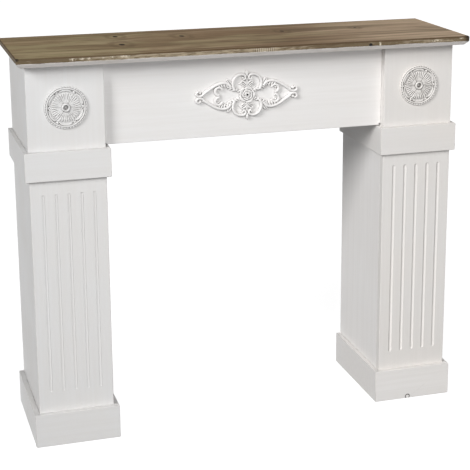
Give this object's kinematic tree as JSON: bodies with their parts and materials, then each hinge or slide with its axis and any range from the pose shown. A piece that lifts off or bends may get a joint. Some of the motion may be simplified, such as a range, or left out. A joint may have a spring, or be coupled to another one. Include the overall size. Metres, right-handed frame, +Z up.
{
  "type": "fireplace mantelpiece",
  "caption": "White painted fireplace mantelpiece with fluted legs, collars, plinths, rosettes, a scrolled frieze ornament and a stained wooden shelf.",
  "frame": {"origin": "on the floor under the middle of the shelf's length and depth", "axes": "+X along the shelf to the right as seen from the front, +Y to the wall behind, +Z up; the front faces -Y"},
  "size_m": [1.1, 0.325, 0.95],
  "materials": {
    "paint": "satin white paint",
    "carving_paint": "satin white paint over carved relief",
    "stained_wood": "greyish brown stain, worn to pale paint under the edge"
  },
  "bodies": {
    "root": {"left_leg_front": "paint", "left_leg_outer_side": "paint", "left_leg_inner_side": "paint", "left_leg_back": "paint", "left_collar_front": "paint", "left_collar_outer": "paint", "left_collar_inner": "paint", "left_plinth_front": "paint", "left_plinth_outer": "paint", "left_plinth_inner": "paint", "left_rosette": "carving_paint", "right_leg_front": "paint", "right_leg_outer_side": "paint", "right_leg_inner_side": "paint", "right_leg_back": "paint", "right_collar_front": "paint", "right_collar_outer": "paint", "right_collar_inner": "paint", "right_plinth_front": "paint", "right_plinth_outer": "paint", "right_plinth_inner": "paint", "right_rosette": "carving_paint", "frieze_board": "paint", "frieze_ornament": "carving_paint", "shelf_board": "stained_wood"}
  },
  "joints": []
}
